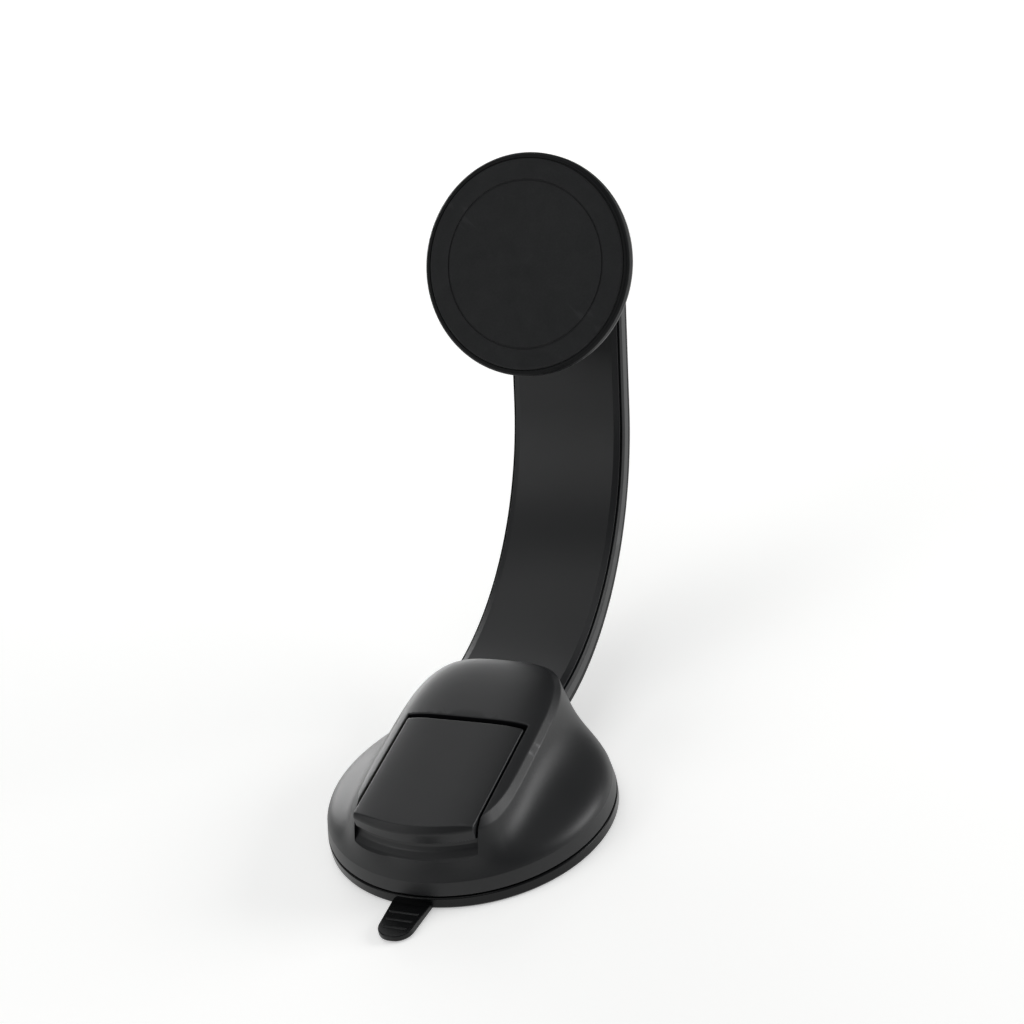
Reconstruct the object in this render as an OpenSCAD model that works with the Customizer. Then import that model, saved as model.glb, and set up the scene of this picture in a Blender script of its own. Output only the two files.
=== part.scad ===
// Car phone mount: suction base with a lock lever, curved strap arm, ball joint, magnetic head.
// Millimetres. Origin at the cup's centre on the suction face, +Z up, -Y towards the driver.

/* [Suction cup] */
// Outer diameter of the suction cup
cup_d = 73.5; // [64:0.5:88]
// Height of the cup's outer rim
cup_rim_h = 3.2; // [2.6:0.1:4]
// Length of the pull tab beyond the rim
tab_len = 14; // [9:0.2:18]
// Width of the pull tab where it leaves the rim
tab_w = 10.6; // [8:0.2:16]
// Slit between the cup rim and the housing
cup_slit = 0.35; // [0.2:0.05:0.8]

/* [Housing] */
// Height of the upright band round the housing's foot
band_h = 3.9; // [2.5:0.1:6]
// Height of the top face above the cup's centre
top_h = 24.75; // [23.5:0.05:29]
// Slope of the top face, rising to the back
top_slope = 7.9; // [5:0.1:10]
// How far the top face rolls down at its edges
crown_fall = 2.3; // [1:0.1:3]
// Width of the rim left each side of the lever
rim_w = 2.75; // [2:0.05:5]
// Width of the bevel round the top face
bevel_w = 1.5; // [1:0.1:3]

/* [Lever] */
// Width of the lock lever
lever_w = 31.9; // [26:0.1:38]
// Thickness of the lever plate
lever_t = 3.4; // [3:0.1:4.5]
// Gap beside the lever
lever_gap = 0.5; // [0.3:0.05:1]
// Distance from the pin to the lever's rear edge
lever_back = 4.9; // [4:0.1:6]
// Gap behind the lever
lever_rear_gap = 1.6; // [1.2:0.1:2.5]
// Diameter of the lever pin
pin_d = 3; // [2:0.1:3.6]
// How far the lever opens
lever_open = 80; // [60:1:85]

/* [Arm] */
// Width of the arm across its side bands
arm_w = 33; // [26:0.5:34]
// Total thickness of the arm
arm_t = 8; // [7.4:0.1:10]
// Radius of the arm's front curve
arm_r = 68.3; // [55:0.1:90]
// Angle the arm sweeps through
arm_sweep = 72; // [60:1:80]
// Distance from the cup's centre to where the curve starts
arm_y = 28; // [24:0.1:36]
// Height of the arm's front face where the curve starts
arm_z = 20.2; // [19:0.1:20.8]
// Straight length from the end of the curve to the ball stud
arm_straight = 39; // [34:0.5:60]

/* [Ball joint] */
// Diameter of the ball
ball_d = 12; // [9:0.5:12]
// Distance from the arm's front face to the ball's centre
stud_h = 12.2; // [11.5:0.1:18]
// Running clearance of the ball and of its liner
ball_clear = 0.05; // [0.02:0.01:0.1]

/* [Head] */
// Diameter of the magnetic head
head_d = 57.2; // [52:0.2:68]
// How far the head's face is tipped up from upright
head_pitch = 26.9; // [18:0.1:36]
// Distance from the ball's centre to the head's face
head_front = 12; // [12:0.1:16]
// Number of magnets in the ring
magnet_n = 18; // [12:1:36]
// Width of the magnet ring
magnet_w = 3.2; // [2:0.1:4]

/* [Hidden] */

$fn = 96;
eps = 0.01;

// heights in the base, upwards from the suction face
cup_r = cup_d / 2;
house_z = cup_rim_h + cup_slit;
house_r = cup_r - 0.15;
crease_z = house_z + band_h;
crease_r = cup_r - 0.85;
stem_disc_r = 12;
stem_disc_t = 2;
stem_disc_z = cup_rim_h + 0.2;
stem_r = 4;
stem_clear = 0.25;
plate_z = house_z + 3.05;
plate_t = 1.6;
plate_in_r = stem_disc_r + 2.5;
wall = 3.2;
cavity_r = house_r - wall;

// lever mechanism
pin_r = pin_d / 2;
pin_z = top_h - 5.3;
cam_r = 4.5;
cam_off = 1.45;
cam_phase = 50;
cam_lift = cam_off * (cos(cam_phase) - cos(cam_phase + lever_open));
cam_low = cam_r + cam_off * cos(cam_phase);
cam_in = 3.9;
cam_out = 9;
eye_r = pin_r + 1.4;
eye_w = 7.2;
cam_clear = 0.1;
wear_t = 0.8;
floor_z = pin_z - cam_low - cam_clear - wear_t;
floor_t = 2.2;
wear_w = 20;
wear_front = 7.5;
wear_back = 1.8;
skirt_t = 3.2;
heel_step = 2.2;
heel_rise = 3.9;
pocket_back = lever_back + 3.5;
lip_t = 1.55;

// top face outline
rim_half = lever_w / 2 + lever_gap + rim_w;
rim_back = cup_r - 6.2;
rim_front = cup_r - 7.7;
rim_power = 4.2;
rear_power = 3.6;
crown_power = 5;
bevel_drop = 1.5;
lever_front = rim_front + 2.5;
lip_arc = 37;
lip_out = 1.2;
lip_drop = 4.6;
lip_bevel_w = 3;
lip_bevel_fall = 4.2;
scoop_gap = 0.3;
scoop_in = 0.9;
scoop_out = 1.6;
scoop_drop = 3.0;
outline_n = 72;
wall_steps = 10;

// arm section, depths measured back from the front face
panel_half = arm_w / 2 - 1;
panel_proud = 0.5;
panel_depth = 0.9;
panel_chamfer = 1.6;
groove_w = 0.45;
band_edge = 0.1;
band_bevel = 1.2;
frame_back = 3.6;
cover_wall = 1.8;
cover_chamfer = 3;
arm_clear = 0.2;
tongue_half = arm_w / 2 - 4;
tongue_y = pocket_back + 4.2;
arm_in_y = tongue_y + 8;
screw_half = tongue_half - 4.5;
screw_y = tongue_y + 4.5;
arm_screw_head = floor_z - floor_t - 1.3;
arm_screw_top = arm_z - 3.2;

// ball stud and socket, along the stud's or the head's own axis
ball_r = ball_d / 2;
neck_r = 2.4;
stud_flange_r = 6.5;
stud_flange_t = 1.9;
stud_thread_r = 2.5;
nut_t = 2.4;
nut_af = 8;
liner_t = 1.35;
liner_r = ball_r + ball_clear + liner_t;
mouth = -0.52 * ball_r;
socket_in = liner_r + ball_clear;
socket_r = socket_in + 1.75;
socket_flange_r = socket_r + 3.8;
collar_in = socket_r + 0.3;
collar_r = collar_in + 3.1;
collar_front = head_front - 8.6;
shell_back = head_front - 8.2;
shell_floor = 2;
flange_back = shell_back + shell_floor + 0.1;
flange_t = 1;
shunt_back = flange_back + flange_t + 0.2;
shunt_t = 0.8;
carrier_back = shunt_back + shunt_t;
carrier_front = head_front - 1.4;
head_r = head_d / 2;
shell_front = head_front - 2.4;
inner_r = head_r - 1.4;
magnet_out = inner_r - 0.9;
magnet_floor = 0.3;
boss_at = 17.5;

// ---------- placing ----------

function deg_point(r, a) = [r * cos(a), r * sin(a)];
function top_at(y) = top_h + y * tan(top_slope);

// the top face is flat in the middle and rolls down to its sides and back
function crown_drop(x, y) =
    let (power = y > 0 ? rear_power : rim_power)
    crown_fall * pow(
        pow(abs(x) / rim_half, power) + pow(max(y, 0) / rim_back, power),
        crown_power / power
    );

arm_end_y = arm_y + arm_r * sin(arm_sweep);
arm_end_z = arm_z + arm_r * (1 - cos(arm_sweep));
foot_y = arm_end_y + arm_straight * cos(arm_sweep);
foot_z = arm_end_z + arm_straight * sin(arm_sweep);
ball_y = foot_y - stud_h * sin(arm_sweep);
ball_z = foot_z + stud_h * cos(arm_sweep);

module on_top() {
    translate([0, 0, top_h])
        rotate([top_slope, 0, 0])
            children();
}

module at_foot() {
    translate([0, foot_y, foot_z])
        rotate([arm_sweep, 0, 0])
            children();
}

module at_ball() {
    translate([0, ball_y, ball_z])
        rotate([arm_sweep, 0, 0])
            children();
}

module at_head() {
    translate([0, ball_y, ball_z])
        rotate([90 - head_pitch, 0, 0])
            children();
}

module along_x(r, from, to) {
    translate([from, 0, 0])
        rotate([0, 90, 0])
            cylinder(r = r, h = to - from);
}

// a block given by its two corners
module block(low, high) {
    translate(low)
        cube(high - low);
}

// a countersunk screw, head at the top of z = 0 and shank downwards
module screw(head_r, head_t, shank_r, length) {
    translate([0, 0, -head_t])
        difference() {
            cylinder(r = head_r, h = head_t);
            translate([0, 0, head_t * 0.4])
                cylinder(r = head_r * 0.5, h = head_t, $fn = 6);
        }
    translate([0, 0, -length])
        cylinder(r = shank_r, h = length - head_t + eps);
}

// ---------- suction cup ----------

module tab_outline() {
    translate([0, -cup_r + 4])
        polygon([
            [-tab_w / 2, 0], [tab_w / 2, 0],
            [tab_w / 2 - 1.1, -tab_len - 4 + tab_w / 2],
            [-tab_w / 2 + 1.1, -tab_len - 4 + tab_w / 2]
        ]);
    translate([0, -cup_r - tab_len + tab_w / 2])
        circle(r = tab_w / 2 - 1);
}

module suction_cup() {
    color("#26272a") {
        difference() {
            union() {
                rotate_extrude()
                    polygon([
                        [0, 1.6], [stem_disc_r + 6, 1.1], [cup_r - 9, 0.3], [cup_r - 7.5, 0],
                        [cup_r - 0.5, 0], [cup_r, 0.6], [cup_r, cup_rim_h - 0.4],
                        [cup_r - 0.4, cup_rim_h], [cup_r - 6, cup_rim_h],
                        [stem_disc_r + 1.6, stem_disc_z + 0.7], [stem_disc_r + 1.2, stem_disc_z + 1.7],
                        [0, stem_disc_z + 1.7]
                    ]);
                translate([0, 0, 0.3])
                    linear_extrude(height = 1.6)
                        tab_outline();
            }
            translate([0, 0, stem_disc_z - 0.05])
                cylinder(r = stem_disc_r + 0.15, h = 10);
        }
        for (k = [0 : 2])
            translate([0, -cup_r - 4.4 - k * 2.7, 1.75])
                along_x(0.45, -3.9 + k * 0.4, 3.9 - k * 0.4);
    }
}

// ---------- lock mechanism ----------

module cup_stem() {
    color("#3a3b3d")
        difference() {
            union() {
                translate([0, 0, stem_disc_z])
                    cylinder(r = stem_disc_r, h = stem_disc_t);
                translate([0, 0, stem_disc_z])
                    cylinder(r = stem_r, h = floor_z + wear_t - stem_disc_z);
                intersection() {
                    cylinder(r = stem_r, h = pin_z);
                    block([-eye_w / 2, -eye_r, stem_disc_z + 1], [eye_w / 2, eye_r, pin_z]);
                }
                translate([0, 0, pin_z])
                    along_x(eye_r, -eye_w / 2, eye_w / 2);
            }
            translate([0, 0, pin_z])
                along_x(pin_r + 0.06, -eye_w, eye_w);
        }
}

spring_wire = 0.45;
spring_r = 7.2;
spring_turns = 2.6;
spring_low = stem_disc_z + stem_disc_t + spring_wire + 0.05;
spring_high = floor_z - floor_t - spring_wire - 0.05;
spring_steps = 52;
spring_sides = 8;

// a coil of round wire, one ring of corners for each step along the helix
module return_spring() {
    points = [
        for (i = [0 : spring_steps])
            for (j = [0 : spring_sides - 1])
                let (
                    turn = 360 * spring_turns * i / spring_steps,
                    side = 360 * j / spring_sides,
                    out = spring_r + spring_wire * cos(side),
                    up = spring_low + (spring_high - spring_low) * i / spring_steps
                )
                [out * cos(turn), out * sin(turn), up + spring_wire * sin(side)]
    ];
    sides = [
        for (i = [0 : spring_steps - 1])
            for (j = [0 : spring_sides - 1])
                let (a = i * spring_sides + j, b = i * spring_sides + (j + 1) % spring_sides)
                [a, a + spring_sides, b + spring_sides, b]
    ];
    last = spring_steps * spring_sides;
    color("#9a9ca0")
        polyhedron(
            points = points,
            faces = concat(
                sides,
                [[for (j = [0 : spring_sides - 1]) j]],
                [[for (j = [0 : spring_sides - 1]) last + spring_sides - 1 - j]]
            )
        );
}

module base_plate() {
    color("#202123")
        difference() {
            rotate_extrude()
                polygon([
                    [plate_in_r, plate_z - plate_t], [cavity_r - 2.4, plate_z - plate_t],
                    [cavity_r - 2.4, cup_rim_h + 0.05], [cavity_r - 0.15, cup_rim_h + 0.05],
                    [cavity_r - 0.15, plate_z - 0.05], [plate_in_r, plate_z - 0.05]
                ]);
            base_screw_places()
                translate([0, 0, -20])
                    cylinder(r = 1.4, h = 40);
        }
}

module base_screw_places() {
    for (a = [45, 135, 225, 315])
        rotate([0, 0, a])
            translate([cavity_r - 9, 0, plate_z - plate_t])
                children();
}

module base_screws() {
    color("#8b8d90")
        base_screw_places()
            mirror([0, 0, 1])
                screw_up();
}

// head below the plate, shank up into the housing
module screw_up() {
    translate([0, 0, 1])
        screw(2.3, 1, 1.2, 7);
}

module cam_plate() {
    color("#a5a7aa")
        difference() {
            block([-wear_w / 2, -wear_front, floor_z], [wear_w / 2, wear_back, floor_z + wear_t]);
            cylinder(r = stem_r + stem_clear, h = 40);
            // open behind the stem, clear of the lever's heel
            block([-stem_r - stem_clear, 0, floor_z - 1], [stem_r + stem_clear, 10, floor_z + 10]);
        }
}

// ---------- housing ----------

// distance from the centre to the top face's outline, at angle a
function rim_reach(a, grow) =
    let (
        half = rim_half + grow,
        length = (sin(a) > 0 ? rim_back : rim_front) + grow,
        power = sin(a) > 0 ? rear_power : rim_power
    )
    pow(pow(abs(cos(a)) / half, power) + pow(abs(sin(a)) / length, power), -1 / power);

function top_point(a, share, grow, drop) =
    let (p = deg_point(rim_reach(a, grow) * share, a))
    [p[0], p[1], top_at(p[1]) - min(crown_drop(p[0], p[1]), crown_fall) - drop];

function mix3(a, b, t) = a * (1 - t) + b * t;

// S-shaped wall: steep shoulder at the foot, hollow sweep, steep again under the bevel
function wall_point(a, t) =
    let (
        foot = concat(deg_point(crease_r, a), [crease_z]),
        head = top_point(a, 1, bevel_w, bevel_drop),
        rise = head[2] - crease_z,
        shoulder = concat(deg_point(crease_r - 1.6, a), [crease_z + rise * 0.36]),
        lean = concat(deg_point(norm([head[0], head[1]]) + 2.4, a), [head[2] - rise * 0.6]),
        p = mix3(foot, shoulder, t),
        q = mix3(shoulder, lean, t),
        r = mix3(lean, head, t)
    )
    mix3(mix3(p, q, t), mix3(q, r, t), t);

function angles() = [for (i = [0 : outline_n - 1]) 360 * i / outline_n];

module housing_form() {
    cap_shares = [1, 0.8, 0.6, 0.4, 0.2];
    rings = concat(
        [[for (a = angles()) concat(deg_point(house_r, a), [house_z])]],
        [for (k = [0 : wall_steps]) [for (a = angles()) wall_point(a, k / wall_steps)]],
        [for (s = cap_shares) [for (a = angles()) top_point(a, s, 0, 0)]]
    );
    count = len(rings);
    points = concat([for (r = rings) each r], [[0, 0, house_z], [0, 0, top_h]]);
    sides = [
        for (k = [0 : count - 2])
            for (i = [0 : outline_n - 1])
                let (
                    j = (i + 1) % outline_n,
                    a = k * outline_n + i,
                    b = k * outline_n + j
                )
                each [[a, a + outline_n, b], [b, a + outline_n, b + outline_n]]
    ];
    foot = [for (i = [0 : outline_n - 1]) [i, (i + 1) % outline_n, count * outline_n]];
    last = (count - 1) * outline_n;
    apex = [
        for (i = [0 : outline_n - 1])
            [last + (i + 1) % outline_n, last + i, count * outline_n + 1]
    ];
    polyhedron(points = points, faces = concat(sides, foot, apex), convexity = 6);
}

// everything lower than the rolled top face, less a skin
module under_crown(skin) {
    steps = 24;
    reach = rim_half * 0.98;
    on_top()
        translate([0, cup_r + 12, 0])
            rotate([90, 0, 0])
                linear_extrude(height = 2 * cup_r + 24)
                    polygon(concat(
                        [[-reach, -40]],
                        [
                            for (k = [-steps : steps])
                                let (x = reach * k / steps)
                                    [x, -crown_drop(x, 0) - skin]
                        ],
                        [[reach, -40]]
                    ));
}

module base_housing() {
    half = lever_w / 2 + lever_gap;
    color("#2e2f31")
        difference() {
            union() {
                difference() {
                    housing_form();
                    translate([0, 0, house_z - 1])
                        cylinder(r = cavity_r, h = plate_z - house_z + 1);
                    // chamber for the stem's disc and the spring
                    translate([0, 0, plate_z - 1])
                        cylinder(r = stem_disc_r + 1.5, h = floor_z - floor_t - plate_z + 1);
                    // coring between the chamber and the outer wall
                    rotate_extrude()
                        polygon([
                            [stem_disc_r + 4, plate_z - 1], [stem_disc_r + 4, floor_z - floor_t],
                            [cavity_r - 5, floor_z - floor_t], [cavity_r - 1.6, plate_z + 1],
                            [cavity_r - 1.6, plate_z - 1]
                        ]);
                }
                base_screw_places()
                    translate([0, 0, plate_t])
                        cylinder(r = 3, h = floor_z - plate_z);
            }
            base_screw_places()
                translate([0, 0, -1])
                    cylinder(r = 1.25, h = 8.5);
            // guide for the stem
            cylinder(r = stem_r + stem_clear, h = 40);
            lever_pocket(half);
            arm_envelope(arm_clear);
            arm_root_block(arm_clear);
            for (x = [-screw_half, screw_half])
                translate([x, screw_y, 0]) {
                    translate([0, 0, floor_z - floor_t - 1])
                        cylinder(r = 1.7, h = 10);
                    translate([0, 0, floor_z - floor_t - 2])
                        cylinder(r = 2.8, h = 2);
                }
        }
}

module lever_pocket(half) {
    edge = lever_back + lever_rear_gap;
    // through the top face
    on_top()
        block([-half, -cup_r - 10, -4], [half, edge, 10]);
    // below the rear lip, for the lever's heel
    intersection() {
        block([-half, -rim_front + 6, floor_z], [half, pocket_back, top_h + 5]);
        under_crown(lip_t);
    }
    // finger recess under the lever's lip
    on_top()
        finger_recess(half);
}

// scoop that follows the curved lip: a ledge below the lip, hollowed down to the open front
module finger_recess(half) {
    lip_r = lip_arc + lip_out;
    front = lever_front / cos(top_slope);
    ledge_z = -lip_drop - scoop_gap;
    intersection() {
        block([-half, -cup_r - 10, ledge_z - scoop_drop - 12], [half, -rim_front + 8, 0]);
        translate([0, -front + lip_arc, 0])
            rotate_extrude($fn = 240)
                polygon([
                    [lip_r - 12, 0], [lip_r - 12, ledge_z], [lip_r - scoop_in, ledge_z],
                    [lip_r - 0.6 * scoop_in, ledge_z - 0.35 * scoop_drop],
                    [lip_r + 0.1, ledge_z - 0.68 * scoop_drop],
                    [lip_r + scoop_out, ledge_z - scoop_drop],
                    [lip_r + 5 * scoop_out, ledge_z - 2 * scoop_drop], [lip_r + 5 * scoop_out, 0]
                ]);
    }
}

// ---------- lever ----------

module lever_outline(front_r) {
    half = lever_w / 2;
    front = lever_front / cos(top_slope);
    back = lever_back / cos(top_slope);
    intersection() {
        translate([-half, -front - lip_out])
            square([lever_w, front + lip_out + back - 1.5]);
        translate([0, -front + lip_arc])
            circle(r = front_r, $fn = 240);
    }
    // rear edge with two rounded corners
    translate([-half + 1.5, back - 3])
        square([lever_w - 3, 3]);
    for (x = [-half + 1.5, half - 1.5])
        translate([x, back - 1.5])
            circle(r = 1.5);
}

module lever() {
    front = lever_front / cos(top_slope);
    color("#303133")
        difference() {
            union() {
                intersection() {
                    on_top() {
                        translate([0, 0, -lever_t])
                            linear_extrude(height = lever_t)
                                lever_outline(lip_arc + lip_out);
                        // skirt behind the front lip
                        translate([0, 0, -lip_drop])
                            linear_extrude(height = lip_drop)
                                difference() {
                                    lever_outline(lip_arc + lip_out);
                                    translate([-50, -front + skirt_t])
                                        square([100, 60]);
                                }
                    }
                    under_crown(0);
                }
                for (side = [-1, 1])
                    cam_cheek(side);
            }
            // bevel along the curved front edge
            on_top()
                translate([0, -front + lip_arc, 0])
                    rotate_extrude($fn = 240)
                        polygon([
                            [lip_arc, 0.1], [lip_arc + lip_bevel_w, 0.1],
                            [lip_arc + lip_bevel_w, -lip_bevel_fall], [lip_arc - 0.05, 0]
                        ]);
            translate([0, 0, pin_z]) {
                along_x(pin_r + 0.02, -cam_out - 1, cam_out + 1);
                along_x(eye_r + 0.4, -cam_in, cam_in);
            }
            // the heel is cut back so that it clears the floor when it swings under
            translate([-lever_w, lever_back, pin_z])
                rotate([90, 0, 90])
                    linear_extrude(height = 2 * lever_w)
                        polygon([[-heel_step, 1], [1, 1], [1, heel_rise + 0.9], [0, heel_rise]]);
            // slot for the stem's eye when the lever stands open
            block([-cam_in, 0, pin_z - 8], [cam_in, 12, pin_z + eye_r + 0.4]);
        }
}

module cam_cheek(side) {
    x0 = side > 0 ? cam_in : -cam_out;
    translate([0, -cam_off * sin(cam_phase), pin_z - cam_off * cos(cam_phase)])
        along_x(cam_r, x0, x0 + cam_out - cam_in);
    // web from the cam up to the plate
    block([x0, -5, pin_z], [x0 + cam_out - cam_in, 2.5, top_at(-5) - lever_t + 0.4]);
}

module lever_pin() {
    color("#b4b6b9")
        translate([0, 0, pin_z])
            along_x(pin_r, -cam_out + 0.2, cam_out - 0.2);
}

// ---------- arm ----------

// follows the arm: a straight root, the curve, the straight top and its round end.
// the child is a 2D section with x across the arm and y as depth behind the front face
module arm_sweep_of(from_y) {
    // root, running forwards inside the housing
    translate([0, arm_y, arm_z])
        rotate([90, 0, 0])
            linear_extrude(height = arm_y - from_y)
                mirror([0, 1, 0])
                    children();
    // curve
    translate([0, arm_y, arm_z + arm_r])
        rotate([0, 90, 0])
            rotate_extrude(angle = arm_sweep, $fn = 240)
                translate([arm_r, 0])
                    rotate([0, 0, 90])
                        mirror([0, 1, 0])
                            children();
    // top
    at_foot()
        rotate([90, 0, 0])
            linear_extrude(height = arm_straight)
                mirror([0, 1, 0])
                    children();
}

// the round end: half of the section turned about the stud's axis
module arm_round_end() {
    at_foot()
        rotate_extrude(angle = 180)
            mirror([0, 1, 0])
                intersection() {
                    children();
                    translate([0, -50])
                        square([100, 100]);
                }
}

module frame_section() {
    half = arm_w / 2;
    difference() {
        polygon([
            [-half, frame_back], [-half, band_bevel], [-panel_half - groove_w, band_edge],
            [panel_half + groove_w, band_edge], [half, band_bevel], [half, frame_back]
        ]);
        translate([-panel_half - groove_w, -1])
            square([2 * (panel_half + groove_w), 1 + panel_depth]);
    }
}

module panel_section() {
    polygon([
        [-panel_half, panel_depth], [-panel_half, 0], [-panel_half + panel_chamfer, -panel_proud],
        [panel_half - panel_chamfer, -panel_proud], [panel_half, 0], [panel_half, panel_depth]
    ]);
}

module cover_section() {
    half = arm_w / 2;
    difference() {
        polygon([
            [-half, frame_back], [-half, arm_t - cover_chamfer], [-half + cover_chamfer, arm_t],
            [half - cover_chamfer, arm_t], [half, arm_t - cover_chamfer], [half, frame_back]
        ]);
        translate([-half + cover_chamfer + 1, frame_back - 1])
            square([arm_w - 2 * cover_chamfer - 2, arm_t - cover_wall - frame_back + 1]);
    }
}

// the arm's whole section with a margin, to cut its way out of the housing
module arm_envelope(margin) {
    half = arm_w / 2 + margin;
    arm_sweep_of(arm_in_y - margin)
        translate([-half, -panel_proud - margin])
            square([2 * half, arm_t + panel_proud + 2 * margin]);
}

module arm_root_block(margin) {
    block(
        [-tongue_half - margin, tongue_y - margin, arm_z - arm_t + 1 - margin],
        [tongue_half + margin, arm_in_y + 1, arm_z - panel_depth + margin]
    );
}

module arm_frame() {
    color("#3b3c3e")
        difference() {
            union() {
                arm_sweep_of(arm_in_y)
                    frame_section();
                arm_round_end()
                    frame_section();
                arm_root_block(0);
            }
            at_foot()
                translate([0, 0, -30])
                    cylinder(r = stud_thread_r + 0.1, h = 60);
            for (x = [-screw_half, screw_half])
                translate([x, screw_y, 0])
                    cylinder(r = 1.25, h = arm_screw_top + 0.6);
        }
}

module arm_front_panel() {
    color("#303134")
        difference() {
            union() {
                arm_sweep_of(arm_in_y + 0.5)
                    panel_section();
                arm_round_end()
                    panel_section();
            }
            at_foot()
                translate([0, 0, -30])
                    cylinder(r = stud_flange_r + 0.2, h = 60);
        }
}

module arm_rear_cover() {
    color("#28292b") {
        arm_sweep_of(arm_in_y + 1.5)
            cover_section();
        arm_round_end()
            cover_section();
    }
}

module arm_screws() {
    color("#8b8d90")
        for (x = [-screw_half, screw_half])
            translate([x, screw_y, arm_screw_head])
                mirror([0, 0, 1])
                    screw(2.5, 1.2, 1.2, arm_screw_top - arm_screw_head);
}

// ---------- ball joint ----------

module ball_stud() {
    seat = -stud_h - panel_depth;
    color("#8f9194")
        at_ball() {
            sphere(r = ball_r);
            translate([0, 0, seat])
                cylinder(r = neck_r, h = -seat);
            translate([0, 0, seat])
                cylinder(r = stud_flange_r, h = stud_flange_t);
            translate([0, 0, seat - (frame_back - panel_depth) - nut_t])
                cylinder(r = stud_thread_r, h = nut_t + frame_back - panel_depth + eps);
        }
}

module stud_nut() {
    color("#7d7f82")
        at_foot()
            translate([0, 0, -frame_back - nut_t])
                difference() {
                    cylinder(r = nut_af / 2 / cos(30), h = nut_t, $fn = 6);
                    translate([0, 0, -1])
                        cylinder(r = stud_thread_r + 0.02, h = nut_t + 2);
                }
}

module socket_liner() {
    color("#d8d8d2")
        at_head()
            difference() {
                intersection() {
                    sphere(r = liner_r);
                    translate([0, 0, mouth])
                        cylinder(r = 50, h = 4.4 - mouth);
                }
                sphere(r = ball_r + ball_clear);
            }
}

module socket_housing() {
    back = mouth - 0.4;
    color("#2b2c2e")
        at_head()
            difference() {
                union() {
                    translate([0, 0, back])
                        cylinder(r = socket_r, h = flange_back + flange_t - back);
                    translate([0, 0, flange_back])
                        cylinder(r = socket_flange_r, h = flange_t);
                }
                sphere(r = socket_in);
                // slits that let the collar close the socket
                for (a = [45, 135])
                    rotate([0, 0, a])
                        block([-20, -0.5, back - 1], [20, 0.5, 1.5]);
            }
}

module lock_collar() {
    back = mouth - 0.1;
    color("#333437")
        at_head()
            difference() {
                translate([0, 0, back])
                    cylinder(r = collar_r, h = collar_front - back);
                translate([0, 0, back - 1])
                    cylinder(r = collar_in, h = 30);
                for (a = [0 : 15 : 345])
                    rotate([0, 0, a])
                        translate([collar_r + 0.35, 0, back - 1])
                            cylinder(r = 0.9, h = collar_front - back - 0.2);
            }
}

// ---------- head ----------

module head_shell() {
    color("#2a2b2d")
        at_head()
            difference() {
                union() {
                    rotate_extrude()
                        polygon([
                            [socket_r + 0.4, shell_back], [head_r - 6.8, shell_back],
                            [head_r - 4.6, shell_back + 0.5], [head_r - 2.2, shell_back + 2],
                            [head_r - 0.6, shell_back + 3.9], [head_r, shell_front - 0.9],
                            [head_r, shell_front], [inner_r, shell_front], [inner_r, shunt_back],
                            [inner_r - 2.4, shunt_back], [head_r - 6.4, shell_back + shell_floor],
                            [socket_r + 0.4, shell_back + shell_floor]
                        ]);
                    head_screw_places()
                        translate([0, 0, shell_back + shell_floor - eps])
                            cylinder(r = 2.4, h = shunt_back - shell_back - shell_floor);
                }
                head_screw_places()
                    translate([0, 0, shell_back + 0.8])
                        cylinder(r = 1, h = 10);
            }
}

module head_screw_places() {
    for (a = [30, 150, 270])
        rotate([0, 0, a])
            translate([boss_at, 0, 0])
                children();
}

module shunt_plate() {
    color("#8c8e92")
        at_head()
            difference() {
                translate([0, 0, shunt_back])
                    cylinder(r = inner_r - 0.1, h = shunt_t);
                cylinder(r = 4, h = 30);
                head_screw_places()
                    cylinder(r = 1.3, h = 30);
            }
}

module magnet_carrier() {
    color("#242527")
        at_head()
            difference() {
                translate([0, 0, carrier_back])
                    cylinder(r = inner_r - 0.1, h = carrier_front - carrier_back);
                cylinder(r = 6, h = 30);
                translate([0, 0, carrier_back + magnet_floor])
                    difference() {
                        cylinder(r = magnet_out + 0.1, h = 10);
                        translate([0, 0, -1])
                            cylinder(r = magnet_out - magnet_w - 0.1, h = 12);
                    }
                head_screw_places() {
                    cylinder(r = 1.3, h = 30);
                    translate([0, 0, carrier_front - 1.3])
                        cylinder(r = 2.2, h = 5);
                }
            }
}

module ring_magnets() {
    pitch = 360 / magnet_n;
    low = carrier_back + magnet_floor + 0.02;
    color("#b0b2b6")
        at_head()
            for (k = [0 : magnet_n - 1])
                rotate([0, 0, k * pitch])
                    rotate_extrude(angle = pitch - 1)
                        translate([magnet_out - magnet_w, low])
                            square([magnet_w, carrier_front - low - 0.1]);
}

module head_screws() {
    color("#8b8d90")
        at_head()
            head_screw_places()
                translate([0, 0, carrier_front - 0.1])
                    screw(2, 1.1, 0.95, carrier_front - shell_back - 1.2);
}

module front_ring() {
    color("#2c2d30")
        at_head()
            rotate_extrude()
                polygon([
                    [inner_r, shell_front + 0.02], [head_r, shell_front + 0.02],
                    [head_r, head_front - 0.9], [head_r - 0.6, head_front - 0.3],
                    [inner_r, head_front - 0.3]
                ]);
}

module silicone_pad() {
    color("#1f2022")
        at_head()
            difference() {
                rotate_extrude()
                    polygon([
                        [0, carrier_front + 0.02], [inner_r - 0.1, carrier_front + 0.02],
                        [inner_r - 0.1, head_front - 0.4], [inner_r - 0.5, head_front],
                        [0, head_front]
                    ]);
                // shallow ring pressed into the face
                translate([0, 0, head_front - 0.25])
                    difference() {
                        cylinder(r = inner_r - 5.4, h = 2);
                        translate([0, 0, -1])
                            cylinder(r = inner_r - 5.9, h = 4);
                    }
            }
}

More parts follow.
